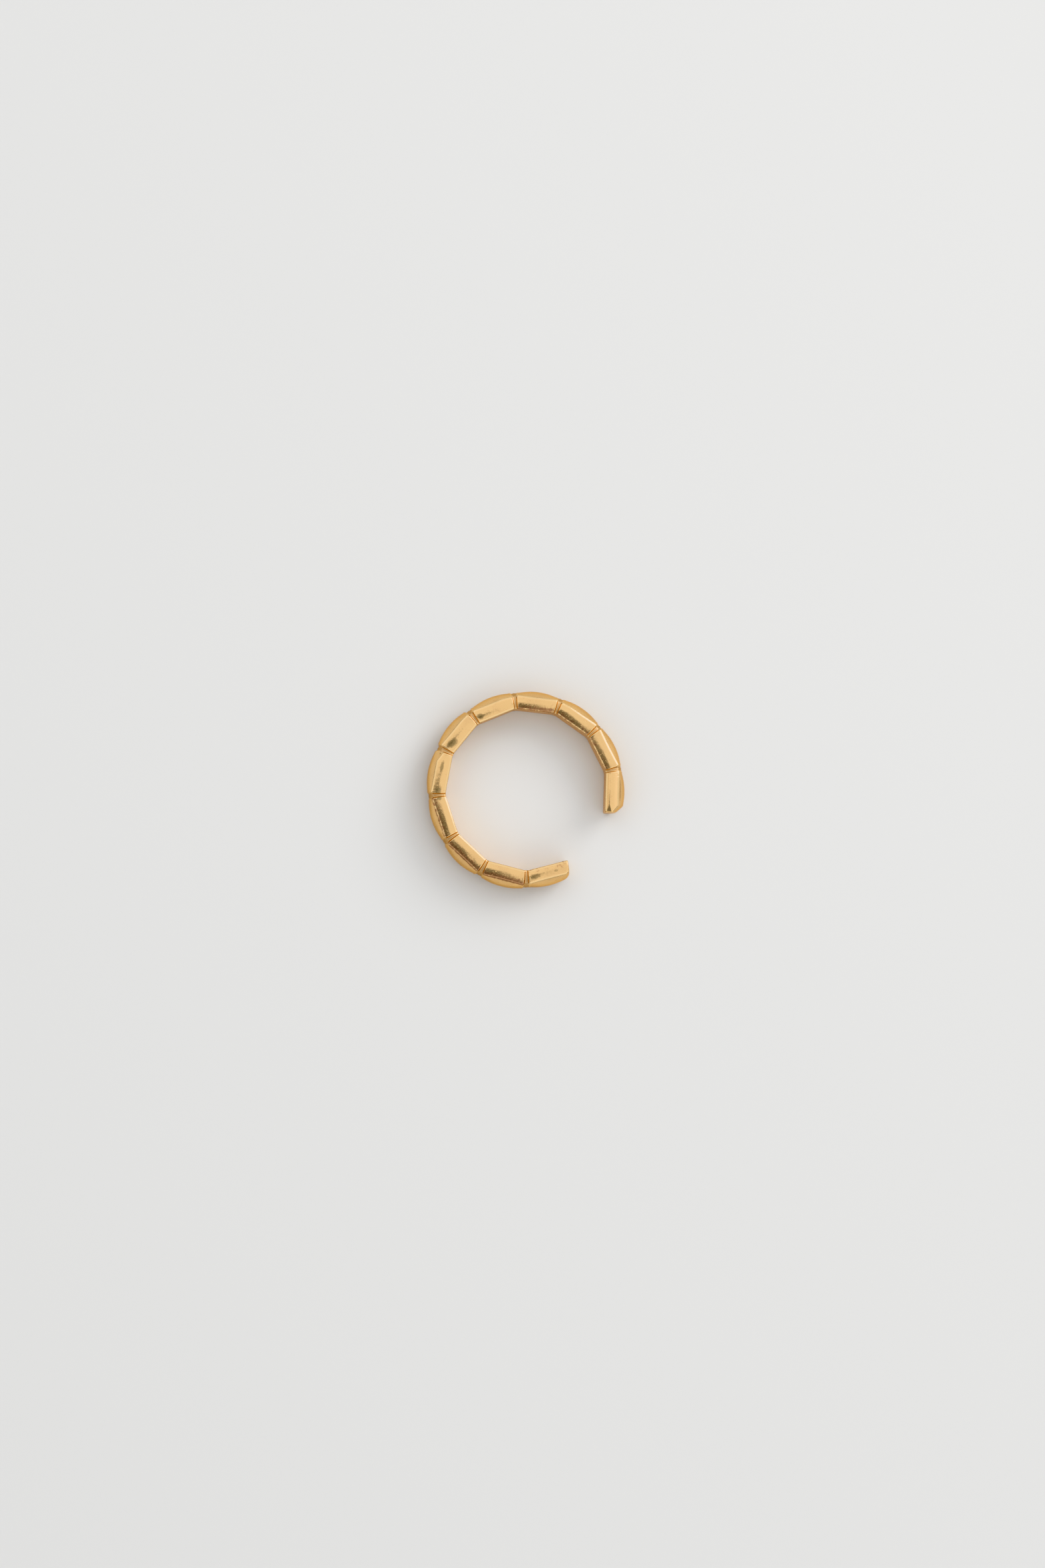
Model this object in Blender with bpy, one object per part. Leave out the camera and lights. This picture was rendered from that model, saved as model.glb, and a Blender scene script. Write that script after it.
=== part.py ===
"""An open band ring, cast in one piece: a row of straight tiles with a groove between each two.

The finger's axis is +Z, the band lies on one edge at z = 0, and the origin is on the axis.
Every cross-section is a list of points (reach, height). The reach is the distance from the
axis to the middle of a tile of mean length, so the flats of a tile are lines of equal reach.
"""

import math
from collections import namedtuple

import bmesh
import bpy
from mathutils import Vector

# Driving sizes, in metres
FINGER_ACROSS = 0.0170
BAND_WIDTH = 0.0040
WALL = 0.0016
DOME_RISE = 0.00066
DOME_END_RISE = 0.00034
INNER_ROUND = 0.00018
OUTER_ROUND = 0.00010
GROOVE_OUTER_WIDTH = 0.00060
GROOVE_INNER_WIDTH = 0.00034
GROOVE_EDGE_DEPTH = 0.00028
GROOVE_DOME_DEPTH = 0.00018
END_OVERHANG = 0.00014

# Driving angles, in degrees
OPENING_ANGLE = 45.0
OPENING_FACING = -38.1

# Each tile, anticlockwise from the opening. The turn is a share of the mean angle of a tile.
# The others are shares of the wall: how far the outer border stands out, and how much is cut
# off the upper outer border's corner at each end.
Tile = namedtuple("Tile", "turn outward first_clip last_clip")
TILES = [
    Tile(turn=0.99, outward=-0.04, first_clip=0.00, last_clip=0.00),
    Tile(turn=0.98, outward=0.00, first_clip=0.00, last_clip=0.05),
    Tile(turn=0.99, outward=0.00, first_clip=0.00, last_clip=0.08),
    Tile(turn=0.99, outward=-0.04, first_clip=0.02, last_clip=0.05),
    Tile(turn=1.01, outward=0.00, first_clip=0.12, last_clip=0.03),
    Tile(turn=0.99, outward=0.08, first_clip=0.08, last_clip=0.03),
    Tile(turn=1.02, outward=0.05, first_clip=0.24, last_clip=0.05),
    Tile(turn=1.00, outward=0.00, first_clip=0.08, last_clip=0.03),
    Tile(turn=0.99, outward=0.05, first_clip=0.05, last_clip=0.03),
    Tile(turn=1.01, outward=0.04, first_clip=0.06, last_clip=0.00),
    Tile(turn=1.03, outward=-0.04, first_clip=0.02, last_clip=0.00),
]

# One side of a groove, from the tile to the middle of the floor. The width is a share of
# half the groove's width, the depth a share of its depth.
GrooveCut = namedtuple("GrooveCut", "width depth")
GROOVE_SIDE = [
    GrooveCut(width=1.30, depth=0.00),
    GrooveCut(width=1.00, depth=0.18),
    GrooveCut(width=0.66, depth=0.92),
]
GROOVE_FLOOR = GrooveCut(width=0.00, depth=1.00)

# The free end of the first and of the last tile, from the end face inwards. All are shares
# of the wall: how far in a section lies at its inner and at its outer border, and how far
# its outer side, its inner side and its two edges are drawn back.
EndCut = namedtuple("EndCut", "inner_in outer_in outer_back inner_back edge_back")
FIRST_END = [
    EndCut(inner_in=0.00, outer_in=0.00, outer_back=0.48, inner_back=0.10, edge_back=0.08),
    EndCut(inner_in=0.03, outer_in=0.03, outer_back=0.42, inner_back=0.03, edge_back=0.025),
    EndCut(inner_in=0.10, outer_in=0.10, outer_back=0.34, inner_back=0.00, edge_back=0.00),
    EndCut(inner_in=0.26, outer_in=0.28, outer_back=0.16, inner_back=0.00, edge_back=0.00),
    EndCut(inner_in=0.44, outer_in=0.48, outer_back=0.00, inner_back=0.00, edge_back=0.00),
]
LAST_END = [
    EndCut(inner_in=0.00, outer_in=0.12, outer_back=0.22, inner_back=0.10, edge_back=0.08),
    EndCut(inner_in=0.03, outer_in=0.15, outer_back=0.12, inner_back=0.03, edge_back=0.025),
    EndCut(inner_in=0.10, outer_in=0.22, outer_back=0.05, inner_back=0.00, edge_back=0.00),
    EndCut(inner_in=0.26, outer_in=0.40, outer_back=0.00, inner_back=0.00, edge_back=0.00),
]

# How finely the band is divided
TILE_STEPS = 8
DOME_STEPS = 12
CORNER_STEPS = 3
SHARP_ANGLE = math.radians(28.0)

INNER_REACH = FINGER_ACROSS / 2
OUTER_REACH = INNER_REACH + WALL
BAND_ANGLE = math.radians(360.0 - OPENING_ANGLE)
MEAN_HALF_ANGLE = BAND_ANGLE / len(TILES) / 2
TURN_SUM = sum(tile.turn for tile in TILES)

# A station is one cross-section of a tile: its outline and how far along the tile it lies
Station = namedtuple("Station", "outline along")


def mix(start, end, share):
    """Return the value that lies at a share of the way from start to end."""
    return start + (end - start) * share


def across(reach):
    """Return where a reach lies in the wall, from 0 at the inner face to 1 at the border."""
    return (reach - INNER_REACH) / WALL


def arc(centre, radius, start, end, steps):
    """Return the points of an arc about a centre, between two angles in degrees."""
    angles = [math.radians(mix(start, end, step / steps)) for step in range(steps + 1)]
    return [(centre[0] + radius * math.cos(a), centre[1] + radius * math.sin(a)) for a in angles]


def dome(border, low, high, rise):
    """Return an arc that bulges outwards by the rise between two heights of a border."""
    half_height = (high - low) / 2
    radius = (half_height ** 2 + rise ** 2) / (2 * rise)
    reach_angle = math.degrees(math.asin(half_height / radius))
    centre = (border + rise - radius, (low + high) / 2)
    return arc(centre, radius, -reach_angle, reach_angle, DOME_STEPS)


def outline(rise, outer_back=0.0, inner_back=0.0, edge_back=0.0, clip=0.0):
    """Return one closed cross-section, from the lower outer corner up over the dome."""
    inner = INNER_REACH + inner_back
    outer = OUTER_REACH - outer_back
    low = edge_back
    high = BAND_WIDTH - edge_back
    bevel = OUTER_ROUND / 3
    points = [(outer - OUTER_ROUND, low), (outer - bevel, low + bevel)]
    points += dome(outer, low + OUTER_ROUND, high - OUTER_ROUND, rise)
    points += [(outer - bevel - clip / 2, high - bevel - clip / 3), (outer - OUTER_ROUND - clip, high)]
    corner = inner + INNER_ROUND
    points += arc((corner, high - INNER_ROUND), INNER_ROUND, 90, 180, CORNER_STEPS)
    points += arc((corner, low + INNER_ROUND), INNER_ROUND, 180, 270, CORNER_STEPS)
    return points


def half_chord(reach, half_angle):
    """Return half the length of a tile at a reach, between its two mitre planes."""
    return reach / math.cos(MEAN_HALF_ANGLE) * math.sin(half_angle)


def groove_station(cut, side, half_angle, outward=0.0, clip=0.0):
    """Return the cross-section at one place in a groove, on the first or last side of a tile."""

    def along(reach):
        width = mix(GROOVE_INNER_WIDTH, GROOVE_OUTER_WIDTH, across(reach))
        offset = width / 2 * cut.width / math.cos(half_angle)
        return side * (half_chord(reach, half_angle) - offset)

    section = outline(
        DOME_END_RISE,
        outer_back=GROOVE_DOME_DEPTH * cut.depth - WALL * outward * (1 - cut.depth),
        edge_back=GROOVE_EDGE_DEPTH * cut.depth,
        clip=WALL * clip * (1 - cut.depth),
    )
    return Station(section, along)


def end_station(cut, side, half_angle, outward):
    """Return the cross-section at one place near a free end, which is cut square to its tile."""

    def along(reach):
        inwards = WALL * mix(cut.inner_in, cut.outer_in, across(reach))
        return side * (half_chord(INNER_REACH, half_angle) + END_OVERHANG - inwards)

    section = outline(
        DOME_END_RISE * (1 - cut.outer_back),
        outer_back=WALL * (cut.outer_back - outward),
        inner_back=WALL * cut.inner_back,
        edge_back=WALL * cut.edge_back,
    )
    return Station(section, along)


def middle_stations(first, last, outward):
    """Return the cross-sections between a tile's two borders, which rise to its dome."""
    stations = []
    for step in range(1, TILE_STEPS):
        share = step / TILE_STEPS
        rise = mix(DOME_RISE, DOME_END_RISE, (2 * share - 1) ** 2)

        def along(reach, share=share):
            return mix(first.along(reach), last.along(reach), share)

        stations.append(Station(outline(rise, outer_back=-WALL * outward), along))
    return stations


def tile_stations(index, half_angle):
    """Return the cross-sections of one tile, without the floors of the grooves beside it."""
    tile = TILES[index]
    if index == 0:
        first = [end_station(cut, -1, half_angle, tile.outward) for cut in FIRST_END]
    else:
        first = [
            groove_station(cut, -1, half_angle, tile.outward, tile.first_clip)
            for cut in reversed(GROOVE_SIDE)
        ]
    if index == len(TILES) - 1:
        last = [end_station(cut, 1, half_angle, tile.outward) for cut in reversed(LAST_END)]
    else:
        last = [
            groove_station(cut, 1, half_angle, tile.outward, tile.last_clip)
            for cut in GROOVE_SIDE
        ]
    stations = first + middle_stations(first[-1], last[0], tile.outward) + last
    if index < len(TILES) - 1:
        stations.append(groove_station(GROOVE_FLOOR, 1, half_angle))
    return stations


def place(station, middle_angle, half_angle):
    """Return the corners of a cross-section in the ring, for a tile that faces an angle."""
    facing = Vector((math.cos(middle_angle), math.sin(middle_angle), 0.0))
    forward = Vector((-math.sin(middle_angle), math.cos(middle_angle), 0.0))
    upward = Vector((0.0, 0.0, 1.0))
    fit = math.cos(half_angle) / math.cos(MEAN_HALF_ANGLE)
    return [
        facing * reach * fit + forward * station.along(reach) + upward * height
        for reach, height in station.outline
    ]


def band_sections():
    """Return the placed cross-sections of the whole band, from one free end to the other."""
    sections = []
    angle = math.radians(OPENING_FACING + OPENING_ANGLE / 2)
    for index, tile in enumerate(TILES):
        half_angle = BAND_ANGLE * tile.turn / TURN_SUM / 2
        for station in tile_stations(index, half_angle):
            sections.append(place(station, angle + half_angle, half_angle))
        angle += 2 * half_angle
    return sections


def make_band_mesh():
    """Return the band's mesh: a skin between neighbouring sections, and a face on each end."""
    mesh = bpy.data.meshes.new("tile_band")
    shape = bmesh.new()
    loops = [[shape.verts.new(point) for point in section] for section in band_sections()]
    for loop, next_loop in zip(loops, loops[1:]):
        for place_in_loop, corner in enumerate(loop):
            before = place_in_loop - 1
            shape.faces.new((loop[before], corner, next_loop[place_in_loop], next_loop[before]))
    shape.faces.new(loops[0])
    shape.faces.new(loops[-1])
    bmesh.ops.recalc_face_normals(shape, faces=shape.faces)
    shape.to_mesh(mesh)
    shape.free()
    mesh.shade_smooth()
    mesh.set_sharp_from_angle(angle=SHARP_ANGLE)
    return mesh


def make_gold():
    """Return the polished yellow gold of the band."""
    gold = bpy.data.materials.new("polished_gold")
    gold.use_nodes = True
    shader = gold.node_tree.nodes["Principled BSDF"]
    shader.inputs["Base Color"].default_value = (0.83, 0.55, 0.25, 1.0)
    shader.inputs["Metallic"].default_value = 1.0
    shader.inputs["Roughness"].default_value = 0.2
    return gold


def clear_scene():
    """Remove the objects that the scene starts with."""
    for thing in list(bpy.data.objects):
        bpy.data.objects.remove(thing, do_unlink=True)


def build():
    """Model the ring."""
    clear_scene()
    band = bpy.data.objects.new("tile_band", make_band_mesh())
    band.data.materials.append(make_gold())
    bpy.context.scene.collection.objects.link(band)


build()
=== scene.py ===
# %% [markdown]
# # An open gold ring of eleven tiles
#
# The ring is one cast band. It was cut into a row of short straight tiles, each with a pillow
# outside and a flat inside, and a narrow groove runs between each two. This lesson makes its
# finished surface in Blender: the band's mesh, its gold, and the light that shows it.
#
# The solid model is loaded first. It already has the right size and place. The finished
# surface is made in that same place, so nothing is moved to fit.

# %% Load the solid model
import math

import bmesh
import bpy
from mathutils import Matrix, Vector


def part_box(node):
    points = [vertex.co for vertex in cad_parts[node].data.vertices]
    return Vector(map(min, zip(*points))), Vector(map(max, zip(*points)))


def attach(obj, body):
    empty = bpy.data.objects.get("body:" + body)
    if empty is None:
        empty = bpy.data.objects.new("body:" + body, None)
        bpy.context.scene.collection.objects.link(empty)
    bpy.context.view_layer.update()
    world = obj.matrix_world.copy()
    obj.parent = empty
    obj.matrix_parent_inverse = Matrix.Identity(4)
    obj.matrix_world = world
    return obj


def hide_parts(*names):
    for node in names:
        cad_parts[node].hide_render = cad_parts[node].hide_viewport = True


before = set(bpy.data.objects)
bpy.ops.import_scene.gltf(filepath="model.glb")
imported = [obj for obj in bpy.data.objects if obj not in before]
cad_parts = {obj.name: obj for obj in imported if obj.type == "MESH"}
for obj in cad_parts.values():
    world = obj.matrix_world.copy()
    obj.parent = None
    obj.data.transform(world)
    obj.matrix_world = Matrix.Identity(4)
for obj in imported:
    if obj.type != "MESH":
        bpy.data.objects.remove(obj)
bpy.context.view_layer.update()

MILLIMETRES = 1000.0     # in a metre

band_low, band_high = (Vector(corner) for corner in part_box("tile_band"))
print("solid band, mm:", [round(side * MILLIMETRES, 2) for side in band_high - band_low])

# %% [markdown]
# ## Sizes
#
# A few sizes drive the whole band. Its width comes from the solid model. The others are the
# maker's sizes: the hole across two opposite flats, the wall that shows on an edge face, how
# far the pillow of a tile stands out at its middle and at its ends, and how much of the wall's
# two corners is taken off. The opening is given by how wide it is and where it faces.

# %% The band's main sizes, in metres and degrees
FINGER_ACROSS = 0.0170
BAND_WIDTH = band_high.z - band_low.z
WALL = 0.0016
DOME_RISE = 0.00066
DOME_END_RISE = 0.00034
INNER_ROUND = 0.00018
OUTER_ROUND = 0.00014
OPENING_ANGLE = 45.0
OPENING_FACING = -38.1

INNER_REACH = FINGER_ACROSS / 2
OUTER_REACH = INNER_REACH + WALL
print("wall from", INNER_REACH, "to", OUTER_REACH)

# %% [markdown]
# ## Sums made of nodes
#
# Both the band's shape and its gold are worked out by nodes. A sum written as nodes is hard
# to read, so one small class wraps a node's output and lets Python's own signs add the Math
# nodes. `1 - depth * 2` then reads as a sum, and still ends up as nodes in the tree.
#
# All other nodes come from one method. It sets a node's settings first, because they decide
# which sockets the node shows, and then fills the sockets with values or links.

# %% A wire that can be used in a sum
class Wire:
    """The output of a node, used in Python the way a number is."""

    def __init__(self, tree, socket):
        self.tree = tree
        self.socket = socket

    def __add__(self, other):
        return calculate("ADD", self, other)

    def __sub__(self, other):
        return calculate("SUBTRACT", self, other)

    def __rsub__(self, other):
        return calculate("SUBTRACT", other, self)

    def __mul__(self, other):
        return calculate("MULTIPLY", self, other)

    def __truediv__(self, other):
        return calculate("DIVIDE", self, other)

    def __rtruediv__(self, other):
        return calculate("DIVIDE", other, self)

    def __neg__(self):
        return calculate("MULTIPLY", self, -1.0)

    __radd__ = __add__
    __rmul__ = __mul__


def tree_of(values):
    """Return the tree of the first wire among the values."""
    return next(value.tree for value in values if isinstance(value, Wire))


def calculate(operation, *values, clamp=False):
    """Add a Math node in the tree that its values belong to."""
    settings = {"operation": operation, "use_clamp": clamp}
    return tree_of(values).node("ShaderNodeMath", settings, dict(enumerate(values)))


# %% A tree that nodes are added to
def find_socket(sockets, name):
    """Return the socket with a number, or the first one in use with a name."""
    if isinstance(name, int):
        return sockets[name]
    return next(socket for socket in sockets if socket.name == name and socket.enabled)


class Tree:
    """A node tree, and the one method that adds every node but the sums."""

    def __init__(self, tree):
        self.tree = tree
        tree.nodes.clear()

    def node(self, kind, settings=(), values=(), output=0):
        """Add a node with its settings and values, and return one of its outputs."""
        node = self.tree.nodes.new(kind)
        for name, value in dict(settings).items():
            setattr(node, name, value)
        for name, value in dict(values).items():
            socket = find_socket(node.inputs, name)
            if isinstance(value, Wire):
                self.tree.links.new(value.socket, socket)
            else:
                socket.default_value = value
        return Wire(self, find_socket(node.outputs, output)) if node.outputs else None


def beside(wire, output):
    """Return another output of the node that a wire comes from."""
    return Wire(wire.tree, find_socket(wire.socket.node.outputs, output))


# %% Words for the sums that have no sign
def least(one, other):
    return calculate("MINIMUM", one, other)


def most(one, other):
    return calculate("MAXIMUM", one, other)


def clamped(value):
    return calculate("ADD", value, 0.0, clamp=True)


def squared(value):
    return value * value


def mixed(start, end, share):
    """Return what lies at a share of the way from start to end, for wires and for numbers."""
    return start + (end - start) * share


def smoothed(value, low, high):
    """Return 0 below low, 1 above high, and a soft step between them."""
    values = {"Value": value, "From Min": low, "From Max": high}
    return value.tree.node("ShaderNodeMapRange", {"interpolation_type": "SMOOTHSTEP"}, values)


# %% Words for places, directions and colours
def vectors(operation, *values, output="Vector"):
    """Add a Vector Math node in the tree that its values belong to."""
    settings = {"operation": operation}
    return tree_of(values).node("ShaderNodeVectorMath", settings, dict(enumerate(values)), output)


def stretched(vector, factor):
    values = {0: vector, "Scale": factor}
    return vector.tree.node("ShaderNodeVectorMath", {"operation": "SCALE"}, values)


def parted(vector):
    """Return the three numbers of a vector."""
    first = vector.tree.node("ShaderNodeSeparateXYZ", (), {0: vector})
    return [beside(first, number) for number in range(3)]


def opaque(color):
    return (*color, 1.0)


def tinted(color, other, share):
    """Return a colour mixed with another by a share, which is a wire."""
    values = {"Factor": share, "A": color, "B": other}
    return share.tree.node("ShaderNodeMix", {"data_type": "RGBA"}, values, "Result")


print("wires and trees are ready")

# %% [markdown]
# ## The path of the tiles
#
# The path is a line of straight stretches, one for each tile, with a corner at each groove.
# It could be a circle cut into equal parts, but the real tiles were made by hand. One is a
# little longer than the next, one stands out further, and one has lost the corner beside a
# groove. So the path is a small mesh whose points carry those differences as attributes,
# and the tree that follows the path reads them.

# %% The tiles, anticlockwise from the opening
# turn: share of a mean tile's angle. outward: how far the outer border stands out, and the two
# clips, the corners worn off the upper outer border, are shares of the wall. lean: how much the
# upper edge face tips outwards, and dip: how much it falls towards its last end, in degrees.
# bevel: the slope of a bevel along the face's inner side. The last column: how brown the face is
# along its outer border, or along its inner border where the number is negative. That brown is
# partly tarnish and partly painted dark reflection.
TILE_WORDS = ("turn", "outward", "first_clip", "last_clip", "lean", "dip", "bevel", "tarnish")
TILES = [
    (0.99, -0.04, 0.00, 0.00, 5.0, 0.6, 0.32, 0.0),
    (0.98, 0.00, 0.00, 0.00, 0.6, 0.5, 0.0, -0.5),
    (0.99, 0.00, 0.00, 0.07, 0.0, -0.2, 0.0, -0.6),
    (0.99, -0.04, 0.00, 0.00, 0.9, 0.5, 0.0, -0.8),
    (1.01, 0.00, 0.08, 0.00, 1.2, -0.3, 0.0, 0.0),
    (0.99, 0.08, 0.06, 0.00, -1.0, -0.2, 0.0, 0.0),
    (1.02, 0.05, 0.26, 0.00, -0.9, -0.6, 0.0, 0.0),
    (1.00, 0.00, 0.00, 0.00, -0.3, 0.2, 0.0, 0.65),
    (0.99, 0.05, 0.00, 0.00, 0.1, 0.2, 0.0, 0.9),
    (1.01, 0.04, 0.00, 0.00, 0.2, -0.3, 0.0, 1.0),
    (1.03, -0.04, 0.00, 0.00, 0.3, 0.3, 0.0, -0.3),
]

TURN_SUM = sum(tile[0] for tile in TILES)
BAND_ANGLE = math.radians(360.0 - OPENING_ANGLE)
MEAN_HALF_COS = math.cos(BAND_ANGLE / len(TILES) / 2)
print("tiles:", len(TILES), "over", round(math.degrees(BAND_ANGLE)), "degrees")


# %% Draw the path
def give_numbers(mesh, name, numbers):
    """Store one number for each point of a mesh."""
    layer = mesh.attributes.new(name, "FLOAT", "POINT")
    layer.data.foreach_set("value", numbers)


def make_path():
    """Return the path's mesh, with a point at each groove and at each free end."""
    angle = math.radians(OPENING_FACING + OPENING_ANGLE / 2)
    angles = [angle]
    for tile in TILES:
        angle += BAND_ANGLE * tile[0] / TURN_SUM
        angles.append(angle)
    corner = INNER_REACH / MEAN_HALF_COS
    points = [(corner * math.cos(angle), corner * math.sin(angle), 0.0) for angle in angles]
    edges = [(start, start + 1) for start in range(len(TILES))]
    mesh = bpy.data.meshes.new("tile_path")
    mesh.from_pydata(points, edges, [])
    for number, word in enumerate(TILE_WORDS):
        give_numbers(mesh, word, [tile[number] for tile in TILES] + [0.0])
    return mesh


gold_band = bpy.data.objects.new("gold_band", make_path())
bpy.context.scene.collection.objects.link(gold_band)
print("path points:", len(gold_band.data.vertices))

# %% [markdown]
# ## The outline of the band
#
# Cut through a tile, the band shows a flat inner face, two flat edge faces and a pillow. The
# outline is drawn once for a tile's middle, where the pillow is high, and once for its ends,
# where it is low. Both have the same number of points, so the tree can mix them.
#
# An outline only needs its upper half, from the middle of the inner face to the top of the
# pillow. The lower half is its mirror image. Each point also carries how far out it lies in
# the wall, how much a clipped corner draws it in, and whether it belongs to the inside or to
# a rim. Both rims have a narrow flat bevel, which is what catches the light as a thin line.

# %% How finely the outline is divided
INNER_STEPS = 9
CORNER_STEPS = 9
FACE_STEPS = 16
RIM_STEPS = 9
DOME_STEPS = 14
CLIPPED_STEPS = 8
print("steps in half an outline:", INNER_STEPS + CORNER_STEPS + FACE_STEPS + RIM_STEPS + DOME_STEPS)

# %% Bends and narrow bevels
BEND_START, BEND_END = 0.20, 0.80


def between(start, end, share):
    """Return the point at a share of the way from one point to another."""
    return tuple(mixed(one, other, share) for one, other in zip(start, end))


def bend(start, corner, end, share):
    """Return a point of a soft bend that leaves start and reaches end along its two sides."""
    return between(between(start, corner, share), between(corner, end, share), share)


def bevelled(start, low, high, end, share):
    """Return a point on a bend, a narrow bevel and a bend, which take a third of the share each."""
    after_low = between(low, high, BEND_START)
    before_high = between(low, high, BEND_END)
    if share < 1 / 3:
        return bend(start, low, after_low, share * 3)
    if share < 2 / 3:
        return between(after_low, before_high, share * 3 - 1)
    return bend(before_high, high, end, share * 3 - 2)


# %% The two rims
# Shares of a rim's rounding: how far its bevel falls, how much is left below the bevel's foot,
# and how far its upper bend runs on into the edge face.
BEVEL_TILT = math.radians(28.0)
INNER_FALL, INNER_RUN = 0.5, 0.3
OUTER_FALL, OUTER_FOOT, OUTER_RUN = 0.55, 0.45, 0.5


def inner_rim():
    """Return the four corners of the rim between the inner face and the edge face."""
    bevel_width = INNER_ROUND * INNER_FALL / math.tan(BEVEL_TILT)
    return (
        (INNER_REACH, BAND_WIDTH - INNER_ROUND),
        (INNER_REACH, BAND_WIDTH - INNER_ROUND * INNER_FALL),
        (INNER_REACH + bevel_width, BAND_WIDTH),
        (INNER_REACH + bevel_width + INNER_ROUND * INNER_RUN, BAND_WIDTH),
    )


def outer_rim(slope):
    """Return the four corners of the rim between the edge face and a pillow of a slope."""
    foot = OUTER_REACH - OUTER_ROUND * OUTER_FOOT * math.tan(slope)
    head = foot - OUTER_ROUND * OUTER_FALL / math.tan(BEVEL_TILT)
    return (
        (head - OUTER_ROUND * OUTER_RUN, BAND_WIDTH),
        (head, BAND_WIDTH),
        (foot, BAND_WIDTH - OUTER_ROUND * OUTER_FALL),
        (OUTER_REACH, BAND_WIDTH - OUTER_ROUND),
    )


print("inner rim, mm:", [round(reach * MILLIMETRES, 3) for reach, _ in inner_rim()])

# %% The upper half of the outline
POINT_WORDS = ("reach", "height", "outer", "clip", "inside", "rim")
MARK_WORDS = POINT_WORDS[2:]


def upper_half(rise):
    """Return the points from the inner face to the pillow's top, each with its six numbers."""
    half_height = BAND_WIDTH / 2 - OUTER_ROUND
    radius = (half_height ** 2 + rise ** 2) / (2 * rise)
    slope = math.asin(half_height / radius)
    inner, outer = inner_rim(), outer_rim(slope)
    points = []
    for step in range(INNER_STEPS):
        height = mixed(BAND_WIDTH / 2, BAND_WIDTH - INNER_ROUND, step / INNER_STEPS)
        points.append((INNER_REACH, height, 0.0, 0.0, 1.0, 0.0))
    for step in range(CORNER_STEPS):
        share = step / CORNER_STEPS
        glow = math.sin(math.pi * share)
        points.append((*bevelled(*inner, share), 0.0, 0.0, 1 - share, glow))
    for step in range(FACE_STEPS):
        share = step / FACE_STEPS
        reach = mixed(inner[-1][0], outer[0][0], share)
        points.append((reach, BAND_WIDTH, share, share, 0.0, 0.0))
    for step in range(RIM_STEPS):
        share = step / RIM_STEPS
        glow = math.sin(math.pi * share)
        points.append((*bevelled(*outer, share), 1.0, 1.0, 0.0, glow))
    for step in range(DOME_STEPS + 1):
        turn = slope * (1 - step / DOME_STEPS)
        reach = OUTER_REACH + rise - radius * (1 - math.cos(turn))
        height = BAND_WIDTH / 2 + radius * math.sin(turn)
        clip = max(1 - step / CLIPPED_STEPS, 0.0)
        points.append((reach, height, 1.0, clip, 0.0, 0.0))
    return points


print("points in half an outline:", len(upper_half(DOME_RISE)))


# %% The whole outline, as a mesh that carries its numbers
def whole_outline(rise):
    """Return the closed outline. Its first point comes again at its end."""
    upper = upper_half(rise)
    lower = [
        (reach, BAND_WIDTH - height, outer, 0.0, inside, rim)
        for reach, height, outer, _, inside, rim in reversed(upper)
    ]
    return upper + lower[1:] + [upper[0]]


def make_outline():
    """Return the outline at a tile's ends, which also holds the one at its middle."""
    ends, middle = whole_outline(DOME_END_RISE), whole_outline(DOME_RISE)
    mesh = bpy.data.meshes.new("band_outline")
    mesh.from_pydata([(point[0], 0.0, point[1]) for point in ends], [], [])
    give_numbers(mesh, "middle_reach", [point[0] for point in middle])
    give_numbers(mesh, "middle_height", [point[1] for point in middle])
    for word in MARK_WORDS:
        number = POINT_WORDS.index(word)
        give_numbers(mesh, word, [point[number] for point in ends])
    length = [0.0]
    for one, other in zip(middle, middle[1:]):
        length.append(length[-1] + math.dist(one[:2], other[:2]))
    give_numbers(mesh, "length", length)
    return mesh


band_outline = bpy.data.objects.new("band_outline", make_outline())
bpy.context.scene.collection.objects.link(band_outline)
COLUMNS = len(band_outline.data.vertices)
print("outline points:", COLUMNS)

# %% [markdown]
# ## The tree that makes the band
#
# Blender has a node that sweeps an outline along a curve, but at a sharp corner it pinches
# the outline, and it can't cut grooves or round off the two free ends. So the tree starts
# from a flat grid instead. Each row of the grid becomes one cross-section of the band, each
# column runs along it, and sums decide where every point goes.
#
# The sizes that a maker might change are the tree's named inputs.

# %% The tree and its named inputs
BAND_INPUTS = {
    "Finger across": FINGER_ACROSS,
    "Wall": WALL,
    "Band width": BAND_WIDTH,
    "Groove outer width": 0.00060,
    "Groove inner width": 0.00034,
    "Groove edge depth": 0.00026,
    "Groove dome depth": 0.00018,
    "End overhang": 0.00014,
    "End rounding": 0.00015,
    "Edge crown": 0.00005,
    "Length crown": 0.00004,
    "Inner fillet": 0.0012,
    "Hand wander": 0.00004,
    "Polish ripple": 0.000004,
}


def make_group(name, numbers):
    """Return a geometry tree whose inputs are a path, an outline, a material and numbers."""
    group = bpy.data.node_groups.new(name, "GeometryNodeTree")
    sockets = group.interface
    sockets.new_socket("Mesh", in_out="OUTPUT", socket_type="NodeSocketGeometry")
    sockets.new_socket("Path", in_out="INPUT", socket_type="NodeSocketGeometry")
    sockets.new_socket("Outline", in_out="INPUT", socket_type="NodeSocketObject")
    sockets.new_socket("Material", in_out="INPUT", socket_type="NodeSocketMaterial")
    for word in numbers:
        sockets.new_socket(word, in_out="INPUT", socket_type="NodeSocketFloat")
    return group


band_group = make_group("tile band", BAND_INPUTS)
shaping = Tree(band_group)
given = shaping.node("NodeGroupInput")


def size(name):
    """Return one of the tree's inputs."""
    return beside(given, name)


print("inputs:", len(BAND_INPUTS))

# %% [markdown]
# ### Rows and columns
#
# A tile takes a fixed number of rows: some from the middle of the groove before it up to its
# own edge, many along its body, and some down into the next groove. Three shares tell where
# a row lies. `climb` goes from 0 to 1 on the way out of the first groove, `body` along the
# tile, and `descent` from 1 to 0 on the way into the next groove.

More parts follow.
